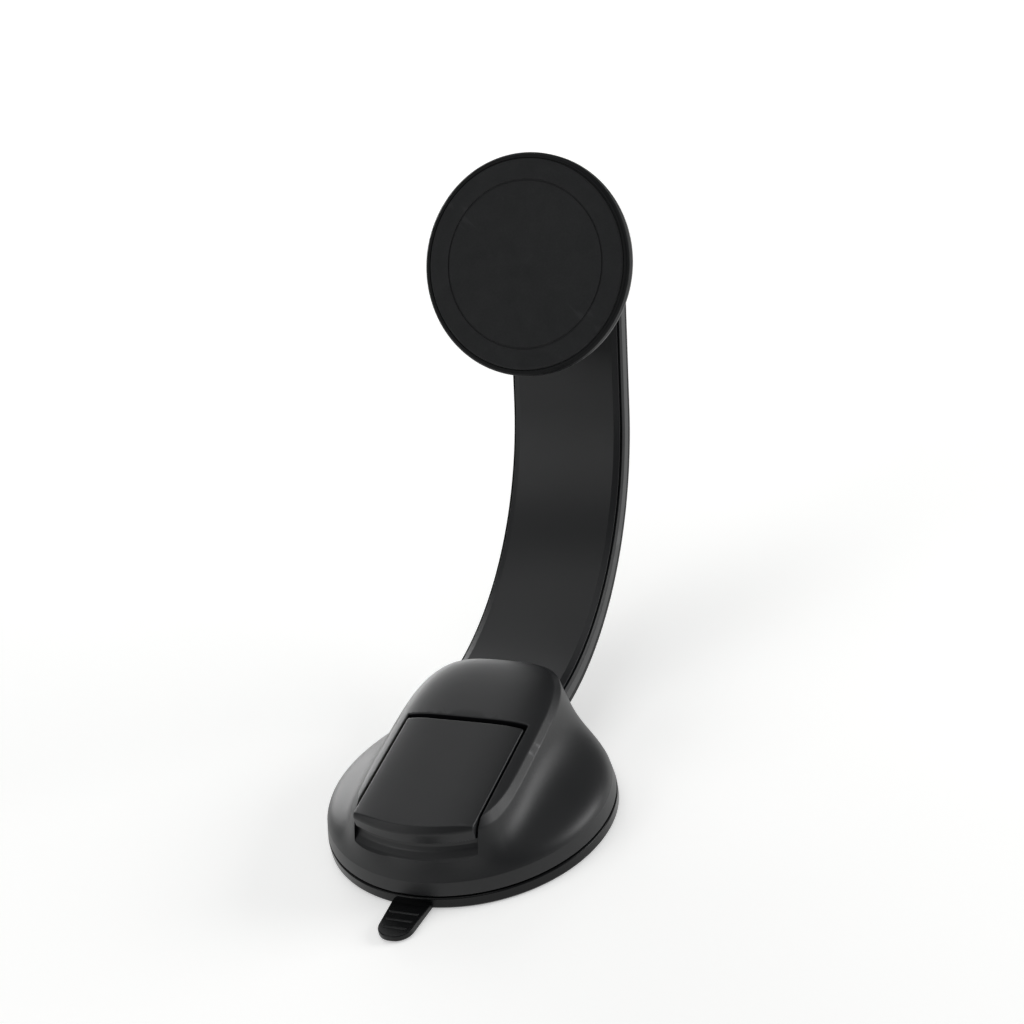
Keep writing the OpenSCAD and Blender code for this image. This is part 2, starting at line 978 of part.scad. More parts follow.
suction_cup();
cup_stem();
return_spring();
base_plate();
base_screws();
base_housing();
cam_plate();
lever();
lever_pin();
arm_frame();
arm_front_panel();
arm_rear_cover();
arm_screws();
ball_stud();
stud_nut();
socket_liner();
socket_housing();
lock_collar();
head_shell();
shunt_plate();
magnet_carrier();
ring_magnets();
head_screws();
front_ring();
silicone_pad();
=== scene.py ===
import math

import bmesh
import bpy
import numpy as np
from mathutils import Matrix, Vector


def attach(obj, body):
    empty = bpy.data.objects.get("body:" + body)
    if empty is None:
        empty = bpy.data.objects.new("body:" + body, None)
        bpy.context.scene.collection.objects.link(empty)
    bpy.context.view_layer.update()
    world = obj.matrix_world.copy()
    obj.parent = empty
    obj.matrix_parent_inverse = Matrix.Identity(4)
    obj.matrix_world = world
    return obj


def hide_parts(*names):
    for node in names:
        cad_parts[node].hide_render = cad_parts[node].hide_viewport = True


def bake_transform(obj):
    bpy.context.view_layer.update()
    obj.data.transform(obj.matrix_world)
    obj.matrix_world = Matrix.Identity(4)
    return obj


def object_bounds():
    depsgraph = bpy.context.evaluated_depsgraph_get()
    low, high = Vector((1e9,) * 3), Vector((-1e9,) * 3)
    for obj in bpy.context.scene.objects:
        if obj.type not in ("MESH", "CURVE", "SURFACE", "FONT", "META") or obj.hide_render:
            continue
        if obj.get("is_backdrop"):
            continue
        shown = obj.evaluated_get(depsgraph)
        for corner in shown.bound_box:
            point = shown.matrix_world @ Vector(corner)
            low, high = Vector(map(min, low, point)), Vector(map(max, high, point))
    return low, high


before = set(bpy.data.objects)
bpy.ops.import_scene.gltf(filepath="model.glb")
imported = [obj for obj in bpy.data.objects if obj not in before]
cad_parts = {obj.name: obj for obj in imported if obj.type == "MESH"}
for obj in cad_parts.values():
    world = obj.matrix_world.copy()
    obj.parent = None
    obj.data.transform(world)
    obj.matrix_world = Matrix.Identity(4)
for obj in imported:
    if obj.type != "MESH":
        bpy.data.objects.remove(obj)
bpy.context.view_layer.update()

scene = bpy.context.scene
print("frame loaded:", len(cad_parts), "CAD nodes")

mm = 0.001  # shapes are worked out in millimetres and written in metres


def newObject(name, mesh):
    made = bpy.data.objects.new(name, mesh)
    scene.collection.objects.link(made)
    return made


def makeMesh(name, points, faces):
    mesh = bpy.data.meshes.new(name)
    mesh.from_pydata((np.asarray(points, float) * mm).tolist(), [], faces)
    made = newObject(name, mesh)
    work = bmesh.new()
    work.from_mesh(mesh)
    bmesh.ops.remove_doubles(work, verts=work.verts, dist=0.002 * mm)
    bmesh.ops.recalc_face_normals(work, faces=work.faces)
    work.to_mesh(mesh)
    work.free()
    return made


def joinPieces(name, pieces):
    work = bmesh.new()
    for piece in pieces:
        work.from_mesh(piece.data)
        bpy.data.objects.remove(piece)
    mesh = bpy.data.meshes.new(name)
    work.to_mesh(mesh)
    work.free()
    return newObject(name, mesh)


def loftRings(name, rings, closed=True, capped=True):
    # quads between rings of the same count; the end rings are filled
    rings = np.asarray(rings, float)
    count, around = rings.shape[:2]
    faces = []
    for k in range(count - 1):
        for i in range(around if closed else around - 1):
            j = (i + 1) % around
            faces.append([k * around + i, (k + 1) * around + i, (k + 1) * around + j, k * around + j])
    if capped:
        faces.append(list(range(around)))
        faces.append([(count - 1) * around + i for i in reversed(range(around))])
    return makeMesh(name, rings.reshape(-1, 3), faces)


nearlyStraight = 1.55  # half the angle at a corner, in radians


def roundCorners(corners, steps=5):
    # corners are (x, y) or (x, y, radius); each one with a radius becomes an arc
    made, count = [], len(corners)
    for i, corner in enumerate(corners):
        here = np.array(corner[:2], float)
        before = np.array(corners[i - 1][:2], float) - here
        after = np.array(corners[(i + 1) % count][:2], float) - here
        radius = corner[2] if len(corner) > 2 else 0
        if radius <= 0:
            made.append(here)
            continue
        u, v = before / np.linalg.norm(before), after / np.linalg.norm(after)
        half = math.acos(max(-1, min(1, float(u @ v)))) / 2
        if half > nearlyStraight:  # the same count of points, spread along the line
            reach = min(0.1, 0.3 * np.linalg.norm(before), 0.3 * np.linalg.norm(after))
            made += [here + (u * (1 - k / steps) + v * k / steps) * reach for k in range(steps + 1)]
            continue
        reach = min(radius / math.tan(half), 0.48 * np.linalg.norm(before), 0.48 * np.linalg.norm(after))
        centre = here + (u + v) / np.linalg.norm(u + v) * reach / math.cos(half)
        start, end, turn = here + u * reach - centre, here + v * reach - centre, math.pi - 2 * half
        for k in range(steps + 1):
            t = k / steps
            swing = start * math.sin((1 - t) * turn) + end * math.sin(t * turn)
            made.append(centre + swing / math.sin(turn))
    return np.array(made)


def lathe(name, corners, place=Matrix.Identity(4), around=144, steps=5, reach=None):
    # corners are (radius, height, fillet); reach(angle, height) may trim the radius, as for knurls
    profile = roundCorners(corners, steps)
    angles = np.arange(around) * 2 * math.pi / around
    rings = []
    for r, z in profile:
        radius = np.full(around, r)
        if reach is not None:
            radius = np.minimum(radius, reach(angles, z))
        rings.append(np.stack([radius * np.cos(angles), radius * np.sin(angles), np.full(around, z)], 1))
    rings.append(rings[0])
    return placed(loftRings(name, rings, capped=False), place)


def prism(name, outline, low, high, edge=0.3, steps=4, along=None):
    # an outline pushed up from low to high, its two rims rounded; along turns its points into the frame
    outline = np.asarray(outline, float)
    ahead, behind = np.roll(outline, -1, 0) - outline, outline - np.roll(outline, 1, 0)
    ahead /= np.linalg.norm(ahead, axis=1)[:, None]
    behind /= np.linalg.norm(behind, axis=1)[:, None]
    inward = np.stack([-(ahead + behind)[:, 1], (ahead + behind)[:, 0]], 1)
    inward /= np.linalg.norm(inward, axis=1)[:, None]
    if np.sum(outline[:, 0] * np.roll(outline[:, 1], -1) - np.roll(outline[:, 0], -1) * outline[:, 1]) < 0:
        inward = -inward
    rings = []
    turns = [math.pi / 2 * k / steps for k in range(steps + 1)]
    for t in turns:
        ring = outline + inward * edge * (1 - math.sin(t))
        rings.append(np.column_stack([ring, np.full(len(ring), low + edge * (1 - math.cos(t)))]))
    for t in reversed(turns):
        ring = outline + inward * edge * (1 - math.sin(t))
        rings.append(np.column_stack([ring, np.full(len(ring), high - edge * (1 - math.cos(t)))]))
    rings = np.array(rings)
    if along is not None:
        rings = along(rings)
    return loftRings(name, rings)


def placed(piece, place):
    piece.data.transform(place)
    return piece


def carve(piece, cutters, operation="DIFFERENCE"):
    for cutter in cutters:
        cut = piece.modifiers.new("carve", "BOOLEAN")
        cut.operation = operation
        cut.solver = "EXACT"
        cut.object = cutter
    carved = bpy.data.meshes.new_from_object(piece.evaluated_get(bpy.context.evaluated_depsgraph_get()))
    piece.modifiers.clear()
    piece.data = carved
    for cutter in cutters:
        bpy.data.objects.remove(cutter)
    return piece


def finishPiece(piece, body, nodes, material, creaseAngle=32):
    # smooth shading with weighted normals, so that flats stay flat and the small fillets catch the light
    work = bmesh.new()
    work.from_mesh(piece.data)
    bmesh.ops.remove_doubles(work, verts=work.verts, dist=0.001 * mm)
    bmesh.ops.dissolve_degenerate(work, edges=work.edges, dist=0.001 * mm)
    work.to_mesh(piece.data)
    work.free()
    piece.data.shade_smooth()
    piece.data.set_sharp_from_angle(angle=math.radians(creaseAngle))
    weighted = piece.modifiers.new("weighted normals", "WEIGHTED_NORMAL")
    weighted.keep_sharp = True
    weighted.weight = 60
    piece.data.materials.clear()
    piece.data.materials.append(material)
    if isinstance(body, str):
        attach(piece, body)
    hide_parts(*nodes)
    return piece


def toLinear(code):
    # an sRGB hex colour as the linear values that a shader socket takes
    parts = [int(code[i : i + 2], 16) / 255 for i in (1, 3, 5)]
    return tuple(c / 12.92 if c <= 0.04045 else ((c + 0.055) / 1.055) ** 2.4 for c in parts) + (1.0,)


def addNode(tree, kind, inputs=None, **settings):
    # one node; an input is a value, or the socket that feeds it
    node = tree.nodes.new(kind)
    for key, value in settings.items():
        setattr(node, key, value)
    for key, value in (inputs or {}).items():
        if isinstance(value, bpy.types.NodeSocket):
            tree.links.new(value, node.inputs[key])
        else:
            node.inputs[key].default_value = value
    return node


def newMaterial(name, **constants):
    # a material with its Principled shader, constants set on the shader's own sockets
    material = bpy.data.materials.new(name)
    material.use_nodes = True
    tree = material.node_tree
    tree.nodes.clear()
    shader = addNode(tree, "ShaderNodeBsdfPrincipled", constants)
    addNode(tree, "ShaderNodeOutputMaterial", {"Surface": shader.outputs["BSDF"]})
    return material, tree, shader


def perMetre(sizeInMm):
    # texture scale for a pattern whose features are this many millimetres apart
    return 1000 / sizeInMm


def mouldedPlastic(name, looks):
    # fine spark-eroded grain, slow waves of gloss, colour drift and polished, slightly paler edges
    material, tree, shader = newMaterial(
        name, **{"IOR": looks["ior"], "Specular IOR Level": looks.get("specular", 0.5)}
    )
    place = addNode(tree, "ShaderNodeTexCoord").outputs["Object"]
    grain = addNode(
        tree, "ShaderNodeTexNoise", {"Vector": place, "Scale": perMetre(looks["grainMm"]), "Detail": 3.0,
                                     "Roughness": 0.55}
    ).outputs["Fac"]
    drift = addNode(
        tree, "ShaderNodeTexNoise", {"Vector": place, "Scale": perMetre(looks["driftMm"]), "Detail": 2.0}
    ).outputs["Fac"]
    smudgeMm = looks["driftMm"] * 0.28
    smudge = addNode(
        tree, "ShaderNodeTexNoise",
        {"Vector": place, "Scale": perMetre(smudgeMm), "Detail": 4.0, "Distortion": 0.4}
    ).outputs["Fac"]
    point = addNode(tree, "ShaderNodeNewGeometry").outputs["Pointiness"]
    edge = addNode(
        tree, "ShaderNodeMapRange", {"Value": point, "From Min": 0.52, "From Max": 0.62, "To Min": 0.0,
                                     "To Max": looks["edgeWear"]}
    ).outputs["Result"]
    base = addNode(
        tree, "ShaderNodeMix",
        {0: drift, 6: toLinear(looks["colour"]), 7: toLinear(looks["colourFar"])}, data_type="RGBA"
    ).outputs[2]
    speck = addNode(
        tree, "ShaderNodeMapRange", {"Value": grain, "From Min": 0.35, "From Max": 0.7,
                                     "To Min": 1 - looks["speckle"], "To Max": 1 + looks["speckle"]}
    ).outputs["Result"]
    flecked = addNode(tree, "ShaderNodeVectorMath", {0: base, 3: speck}, operation="SCALE").outputs[0]
    worn = addNode(
        tree, "ShaderNodeMix", {0: edge, 6: flecked, 7: toLinear(looks["edgeColour"])}, data_type="RGBA"
    ).outputs[2]
    gloss = addNode(
        tree, "ShaderNodeMapRange", {"Value": smudge, "From Min": 0.3, "From Max": 0.7,
                                     "To Min": looks["roughness"] - looks["roughnessSwing"],
                                     "To Max": looks["roughness"] + looks["roughnessSwing"]}
    ).outputs["Result"]
    rough = addNode(
        tree, "ShaderNodeMath", {0: edge, 1: -0.25, 2: gloss}, operation="MULTIPLY_ADD"
    ).outputs[0]
    bump = addNode(
        tree, "ShaderNodeBump", {"Height": grain, "Strength": looks["grainStrength"],
                                 "Distance": looks["grainDeepMm"] * mm}
    ).outputs["Normal"]
    tree.links.new(worn, shader.inputs["Base Color"])
    tree.links.new(rough, shader.inputs["Roughness"])
    tree.links.new(bump, shader.inputs["Normal"])
    return material


def machinedMetal(name, looks):
    # a metal with fine tool lines round or along an axis and tarnish in patches
    material, tree, shader = newMaterial(name, Metallic=1.0)
    place = addNode(tree, "ShaderNodeTexCoord").outputs["Object"]
    stretched = addNode(tree, "ShaderNodeMapping", {"Vector": place, "Scale": looks["stretch"]}).outputs[0]
    lines = addNode(
        tree, "ShaderNodeTexNoise", {"Vector": stretched, "Scale": perMetre(looks["lineMm"]), "Detail": 4.0}
    ).outputs["Fac"]
    patches = addNode(
        tree, "ShaderNodeTexNoise", {"Vector": place, "Scale": perMetre(looks["patchMm"]), "Detail": 3.0}
    ).outputs["Fac"]
    tone = addNode(
        tree, "ShaderNodeMix", {0: patches, 6: toLinear(looks["colour"]), 7: toLinear(looks["colourFar"])},
        data_type="RGBA"
    ).outputs[2]
    rough = addNode(
        tree, "ShaderNodeMapRange", {"Value": lines, "From Min": 0.3, "From Max": 0.7,
                                     "To Min": looks["roughness"] - 0.08, "To Max": looks["roughness"] + 0.08}
    ).outputs["Result"]
    bump = addNode(
        tree, "ShaderNodeBump", {"Height": lines, "Strength": 0.25, "Distance": looks["lineDeepMm"] * mm}
    ).outputs["Normal"]
    tree.links.new(tone, shader.inputs["Base Color"])
    tree.links.new(rough, shader.inputs["Roughness"])
    tree.links.new(bump, shader.inputs["Normal"])
    return material


# ABS with a spark-eroded, soft-touch finish: near black, satin, a fine even grain
housingAbs = mouldedPlastic("mouldedAbsSoftTouch", {
    "colour": "#131415", "colourFar": "#17181a", "edgeColour": "#232427", "edgeWear": 0.5,
    "ior": 1.53, "specular": 0.42, "roughness": 0.42, "roughnessSwing": 0.015,
    "grainMm": 0.42,  # the real grain is about 0.15 mm, drawn coarser so that it shows
    "grainDeepMm": 0.02, "grainStrength": 0.35, "speckle": 0.08, "driftMm": 46,
})

# the lever is moulded in the same ABS, a touch coarser where the finger presses
leverAbs = mouldedPlastic("mouldedAbsLever", {
    "colour": "#121314", "colourFar": "#161719", "edgeColour": "#242528", "edgeWear": 0.6,
    "ior": 1.53, "specular": 0.38, "roughness": 0.43, "roughnessSwing": 0.015,
    "grainMm": 0.46, "grainDeepMm": 0.022, "grainStrength": 0.4, "speckle": 0.1, "driftMm": 38,
})

# glass-filled nylon of the strap: a little harder and greyer, with a drier sheen
strapNylon = mouldedPlastic("mouldedNylonSatin", {
    "colour": "#131415", "colourFar": "#17181a", "edgeColour": "#26272a", "edgeWear": 0.5,
    "ior": 1.53, "specular": 0.35, "roughness": 0.4, "roughnessSwing": 0.015,
    "grainMm": 0.4, "grainDeepMm": 0.016, "grainStrength": 0.3, "speckle": 0.07, "driftMm": 60,
})

# the strap's rear cover, in a darker copy of the same moulding's colour: the darkening is painted shade for
# the strap's shaded rear side
paintedShadeAbs = mouldedPlastic("mouldedAbsPaintedShade", {
    "colour": "#0e0f10", "colourFar": "#121314", "edgeColour": "#1c1d20", "edgeWear": 0.4,
    "ior": 1.53, "specular": 0.12, "roughness": 0.48, "roughnessSwing": 0.02,
    "grainMm": 0.45, "grainDeepMm": 0.02, "grainStrength": 0.35, "speckle": 0.08, "driftMm": 50,
})

# thermoplastic polyurethane: deeper black, smoother and wetter looking than the plastic above it
cupTpu = mouldedPlastic("mouldedTpu", {
    "colour": "#08090a", "colourFar": "#0b0c0d", "edgeColour": "#1c1d20", "edgeWear": 0.5,
    "ior": 1.5, "specular": 0.25, "roughness": 0.26, "roughnessSwing": 0.03,
    "grainMm": 0.9, "grainDeepMm": 0.012, "grainStrength": 0.25, "speckle": 0.05, "driftMm": 22,
})

# acetal: hard, slightly waxy and off-white
linerPom = mouldedPlastic("mouldedAcetal", {
    "colour": "#d9d8d0", "colourFar": "#cfcdc4", "edgeColour": "#e6e5de", "edgeWear": 0.3,
    "ior": 1.48, "specular": 0.5, "roughness": 0.35, "roughnessSwing": 0.05,
    "grainMm": 0.6, "grainDeepMm": 0.008, "grainStrength": 0.2, "speckle": 0.02, "driftMm": 12,
})

# silicone: dead matt and very slightly dusty, with a low soft sheen
padSilicone = mouldedPlastic("mouldedSilicone", {
    "colour": "#1b1c1d", "colourFar": "#222324", "edgeColour": "#2c2d2f", "edgeWear": 0.3,
    "ior": 1.41, "specular": 0.4, "roughness": 0.68, "roughnessSwing": 0.05,
    "grainMm": 0.5, "grainDeepMm": 0.02, "grainStrength": 0.35, "speckle": 0.1, "driftMm": 18,
})

# turned and ground steel, faintly warm, with fine lines round the ball
groundSteel = machinedMetal("groundSteel", {
    "colour": "#b3b3b1", "colourFar": "#9d9e9f", "roughness": 0.26, "lineMm": 0.5, "patchMm": 6,
    "lineDeepMm": 0.01, "stretch": (0.2, 1.0, 1.0),
})

# zinc-plated screws and nut: bluer and a little cloudy
platedSteel = machinedMetal("zincPlatedSteel", {
    "colour": "#9fa3a8", "colourFar": "#85898f", "roughness": 0.36, "lineMm": 0.6, "patchMm": 3,
    "lineDeepMm": 0.01, "stretch": (1.0, 1.0, 0.4),
})

# hard-drawn spring wire: grey, with draw lines
springWire = machinedMetal("drawnSpringSteel", {
    "colour": "#8f9194", "colourFar": "#76797d", "roughness": 0.3, "lineMm": 0.3, "patchMm": 4,
    "lineDeepMm": 0.006, "stretch": (1.0, 1.0, 3.0),
})

# nickel-plated magnets: bright, slightly yellow
nickelPlate = machinedMetal("nickelPlatedMagnet", {
    "colour": "#c3c0b8", "colourFar": "#adaaa2", "roughness": 0.2, "lineMm": 0.8, "patchMm": 5,
    "lineDeepMm": 0.004, "stretch": (1.0, 1.0, 1.0),
})
print("materials made:", len(bpy.data.materials))

housing = {
    "topHeight": 24.75, "slopeDeg": 7.9, "footRadius": 36.6, "footHeight": 3.55, "bandHeight": 3.9,
    "creaseRadius": 35.9, "rimHalf": 19.2, "rimBack": 30.55, "rimFront": 29.05, "rimPower": 4.2,
    "rearPower": 3.6,
    "crownFall": 2.3, "crownPower": 5.0, "bevelWidth": 1.5, "bevelDrop": 1.5,
    "edgeSoft": 0.32, "meanReach": 24.0,  # rounding of the bevel's two edges, and the top face's mean reach
    "creaseSoft": 0.35,  # rounding of the crease above the band
    "shoulderIn": 1.6, "shoulderUp": 0.36,  # the wall's pull at its foot
    "leanOut": 2.4, "leanDown": 0.6,  # and its pull under the bevel
    "footBulge": 0.15, "footSoft": 0.4, "sole": 3.0,  # the band's top, its lower rim and the ring under it
    "around": 300, "wallSteps": 34, "wallFirst": 0.02, "wallLast": 0.982,
}
lever = {
    "width": 31.9, "thick": 3.4, "gap": 0.5, "back": 4.9, "rearGap": 1.6, "lipArc": 37.0, "lipOut": 1.2,
    "lipDrop": 4.6, "lipPast": 2.5, "bevelSlope": 1.377, "bevelSoft": 0.22, "edge": 0.35, "cornerRadius": 1.5,
    "lipCorner": 0.7, "skirt": 3.2, "heelStep": 2.2, "heelSlope": 1.318, "underEdge": 0.25,
}
scoop = {"gap": 0.3, "inside": 0.9, "outside": 1.6, "drop": 3.0, "ledge": 12.0, "slices": 41}
pocket = {"front": -50, "deep": 4.0, "corner": 2.2, "mouthSoft": 0.38, "flareDeg": 74}
heelRoom = {"lip": 1.55, "start": 6.0, "past": 3.5}  # the room under the rear lip for the lever's heel
cavity = {  # the hollow under the housing: round the cup, round the spring and round the post
    "radius": 33.4, "height": 6.6, "springRadius": 13.5, "springHeight": 10.918, "postRadius": 4.25,
}
pinHeight = housing["topHeight"] - 5.3
slope = math.tan(math.radians(housing["slopeDeg"]))
creaseHeight = housing["footHeight"] + housing["bandHeight"]
pocketHalf = lever["width"] / 2 + lever["gap"]
lipFront = (housing["rimFront"] + lever["lipPast"]) / math.cos(math.radians(housing["slopeDeg"]))
floorHeight = 13.118  # the lever pocket's floor, where the cams press


def topAt(y):
    return housing["topHeight"] + y * slope


def crownDrop(x, y):
    # the top face is flat in the middle and rolls down to its sides and back
    power = np.where(np.asarray(y) > 0, housing["rearPower"], housing["rimPower"])
    side = (np.abs(x) / housing["rimHalf"]) ** power
    back = (np.maximum(y, 0) / housing["rimBack"]) ** power
    fall = housing["crownFall"]
    return np.minimum(fall * (side + back) ** (housing["crownPower"] / power), fall)


def rimReach(angles, grow):
    half = housing["rimHalf"] + grow
    length = np.where(np.sin(angles) > 0, housing["rimBack"], housing["rimFront"]) + grow
    power = np.where(np.sin(angles) > 0, housing["rearPower"], housing["rimPower"])
    across, away = np.abs(np.cos(angles)) / half, np.abs(np.sin(angles)) / length
    return (across**power + away**power) ** (-1 / power)


def topRing(angles, share, grow=0.0, drop=0.0):
    reach = rimReach(angles, grow) * share
    x, y = reach * np.cos(angles), reach * np.sin(angles)
    return np.stack([x, y, topAt(y) - crownDrop(x, y) - drop], 1)


def circleRing(angles, radius, height):
    heights = np.broadcast_to(height, angles.shape)
    return np.stack([radius * np.cos(angles), radius * np.sin(angles), heights], 1)


def wallRing(angles, t):
    # S-shaped wall: a steep shoulder at the foot, a hollow sweep, steep again under the bevel
    head = topRing(angles, 1, housing["bevelWidth"], housing["bevelDrop"])
    rise = head[:, 2] - creaseHeight
    foot = circleRing(angles, housing["creaseRadius"], creaseHeight)
    shoulder = circleRing(angles, housing["creaseRadius"] - housing["shoulderIn"],
                          creaseHeight + rise * housing["shoulderUp"])
    lean = circleRing(angles, np.hypot(head[:, 0], head[:, 1]) + housing["leanOut"],
                      head[:, 2] - rise * housing["leanDown"])
    return foot * (1 - t) ** 3 + 3 * shoulder * t * (1 - t) ** 2 + 3 * lean * t * t * (1 - t) + head * t**3


def bend(a, b, c, steps=5):
    # rings that round the corner at b
    made = []
    for k in range(steps + 1):
        t = k / steps
        made.append(a * (1 - t) ** 2 + 2 * b * t * (1 - t) + c * t * t)
    return made


def housingForm():
    around = housing["around"]
    angles = np.arange(around) * 2 * math.pi / around
    rim, head = topRing(angles, 1), topRing(angles, 1, housing["bevelWidth"], housing["bevelDrop"])
    length = np.linalg.norm(head - rim, axis=1)[:, None]
    step = (head - rim) / length * housing["edgeSoft"]
    inner = topRing(angles, 1 - housing["edgeSoft"] / housing["meanReach"])
    first, last = housing["wallFirst"], housing["wallLast"]
    wallTop, wallLow, foot = wallRing(angles, last), wallRing(angles, first), wallRing(angles, 0)
    bandTop = circleRing(angles, housing["creaseRadius"] + housing["footBulge"],
                         creaseHeight - housing["creaseSoft"])
    # closer together towards the rim, where the face rolls down
    rings = [topRing(angles, s) for s in (0.01, 0.15, 0.3, 0.45, 0.6, 0.72, 0.82, 0.89, 0.935, 0.962)]
    rings += bend(inner, rim, rim + step)
    rings += bend(head - step, head, wallTop)
    rings += [wallRing(angles, last + (first - last) * k / housing["wallSteps"])
              for k in range(1, housing["wallSteps"])]
    rings += bend(wallLow, foot, bandTop, 6)
    low, radius, soft = housing["footHeight"], housing["footRadius"], housing["footSoft"]
    rings += bend(circleRing(angles, radius, low + soft), circleRing(angles, radius, low),
                  circleRing(angles, radius - soft, low), 4)
    rings += [circleRing(angles, radius - housing["sole"], low)]
    return loftRings("baseHousing", rings)


def onTop(points):
    # (x, along the top face, above it) to the part's frame
    a = math.radians(housing["slopeDeg"])
    points = np.asarray(points, float)
    x, v, w = points[..., 0], points[..., 1], points[..., 2]
    return np.stack([x, v * math.cos(a) - w * math.sin(a),
                     housing["topHeight"] + v * math.sin(a) + w * math.cos(a)], -1)


def surfaceAbove(x, v):
    # height of the housing's top face over the sloping plane
    a = math.radians(housing["slopeDeg"])
    return -crownDrop(x, v * math.cos(a)) * math.cos(a)


def outwardOf(outline):
    ahead, behind = np.roll(outline, -1, 0) - outline, outline - np.roll(outline, 1, 0)
    ahead /= np.linalg.norm(ahead, axis=1)[:, None]
    behind /= np.linalg.norm(behind, axis=1)[:, None]
    out = np.stack([(ahead + behind)[:, 1], -(ahead + behind)[:, 0]], 1)
    return out / np.linalg.norm(out, axis=1)[:, None]


def spaced(a, b, count):
    # points between a and b, ends left out
    return [tuple(np.array(a) + (np.array(b) - np.array(a)) * k / (count + 1)) for k in range(1, count + 1)]


def pocketCutter():
    # the lever's opening, its mouth flared so that the cut edge comes out rounded
    edge, front, half = lever["back"] + lever["rearGap"], pocket["front"], pocketHalf
    soft = pocket["mouthSoft"]
    corners = [(-half, front)] + [(half, front)] + spaced((half, front), (half, edge), 60)
    corners += [(half, edge, pocket["corner"])] + spaced((half, edge), (-half, edge), 36)
    corners += [(-half, edge, pocket["corner"])]
    corners += spaced((-half, edge), (-half, front), 60)
    outline = roundCorners(corners, 8)
    out = outwardOf(outline)
    out[0], out[1] = (-1, 0), (1, 0)
    rings = [onTop(np.column_stack([outline, np.full(len(outline), -pocket["deep"])]))]
    for k in range(7):
        t = math.radians(pocket["flareDeg"]) * k / 6
        ring = outline + out * soft * (1 - math.cos(t))
        height = surfaceAbove(ring[:, 0], ring[:, 1]) - soft * (1 - math.sin(t))
        rings.append(onTop(np.column_stack([ring, height])))
    ring = ring + out * 0.6 * math.sin(t)
    rings.append(onTop(np.column_stack([ring, surfaceAbove(ring[:, 0], ring[:, 1]) + 0.16])))
    rings.append(onTop(np.column_stack([ring, np.full(len(ring), 12.0)])))
    return loftRings("pocketCutter", rings)


def heelCutter():
    # from the lip's underside down to the floor
    half = pocketHalf
    x = np.concatenate([[-half], np.linspace(-half, half, 31), [half]])
    rings = []
    for y in np.linspace(-housing["rimFront"] + heelRoom["start"], lever["back"] + heelRoom["past"], 24):
        z = topAt(y) - crownDrop(x, y * 0) - heelRoom["lip"]
        z[0] = z[-1] = floorHeight
        rings.append(np.stack([x, np.full_like(x, y), z], 1))
    return loftRings("heelCutter", rings)


def recessCutter():
    # the scooped finger recess: a ledge just below the lip, hollowed down to the open front
    lip, ledge, drop = lever["lipArc"] + lever["lipOut"], -lever["lipDrop"] - scoop["gap"], scoop["drop"]
    inside, outside = scoop["inside"], scoop["outside"]
    centre = lever["lipArc"] - lipFront
    profile = roundCorners([
        (lip - scoop["ledge"], 3, 0), (lip - scoop["ledge"], ledge, 0), (lip - inside, ledge, 0.2),
        (lip - 0.6 * inside, ledge - 0.35 * drop, 1), (lip + 0.1, ledge - 0.68 * drop, 1.5),
        (lip + outside, ledge - drop, 2), (lip + 5 * outside, ledge - 2 * drop, 0), (lip + 5 * outside, 3, 0),
    ], 6)
    rings = []
    for x in np.linspace(-pocketHalf, pocketHalf, scoop["slices"]):
        v = centre - np.sqrt(profile[:, 0] ** 2 - x**2)
        rings.append(onTop(np.column_stack([np.full(len(profile), x), v, profile[:, 1]])))
    return loftRings("recessCutter", rings)


def cavityCutter():
    wide, low = cavity["radius"], cavity["height"]
    narrow, high, post = cavity["springRadius"], cavity["springHeight"], cavity["postRadius"]
    return lathe("cavityCutter", [
        (0, 1, 0), (wide, 1, 0), (wide, low, 0), (narrow, low, 0), (narrow, high, 0), (post, high, 0),
        (post, 40, 0), (0, 40, 0),
    ], around=96)


strap = {
    "width": 33.0, "thick": 8.0, "curve": 68.3, "sweepDeg": 72.0, "startBack": 28.0, "startUp": 20.2,
    "straight": 39.0, "straightSteps": 12, "rootBack": 20.6, "rootSteps": 3,
    "curveSteps": 72, "endTurns": 64,
    "rootWider": 0.02, "endNarrower": 0.028,  # the strap narrows a little from its root to its end
}


layers = {  # depths behind the strap's front face, and widths of the parts of its section
    "proud": 0.5, "panelBack": 0.9, "frameBack": 3.6, "bandEdge": 1.2, "bandFront": 0.1, "panelIn": 1.0,
    "groove": 0.45, "chamferIn": 1.6, "flatIn": 8.0, "coverWall": 1.8, "coverIn": 4.0, "coverSide": 5.0,
    "coverFlatIn": 3.0,
}


def strapStations(fromBack):
    # (place on the front face's centreline, along, depth) down the strap
    turn = math.radians(strap["sweepDeg"])
    stations = []
    for y in np.linspace(fromBack, strap["startBack"], strap["rootSteps"] + 1)[:-1]:
        stations.append(((0, y, strap["startUp"]), (0, 1, 0), (0, 0, -1)))
    for k in range(strap["curveSteps"] + 1):
        a = turn * k / strap["curveSteps"]
        back = strap["startBack"] + strap["curve"] * math.sin(a)
        up = strap["startUp"] + strap["curve"] * (1 - math.cos(a))
        stations.append(((0, back, up), (0, math.cos(a), math.sin(a)), (0, math.sin(a), -math.cos(a))))
    end, along, depth = [np.array(v, float) for v in stations[-1]]
    steps = strap["straightSteps"]
    for k in range(1, steps + 1):
        stations.append((end + along * strap["straight"] * k / steps, along, depth))
    return stations


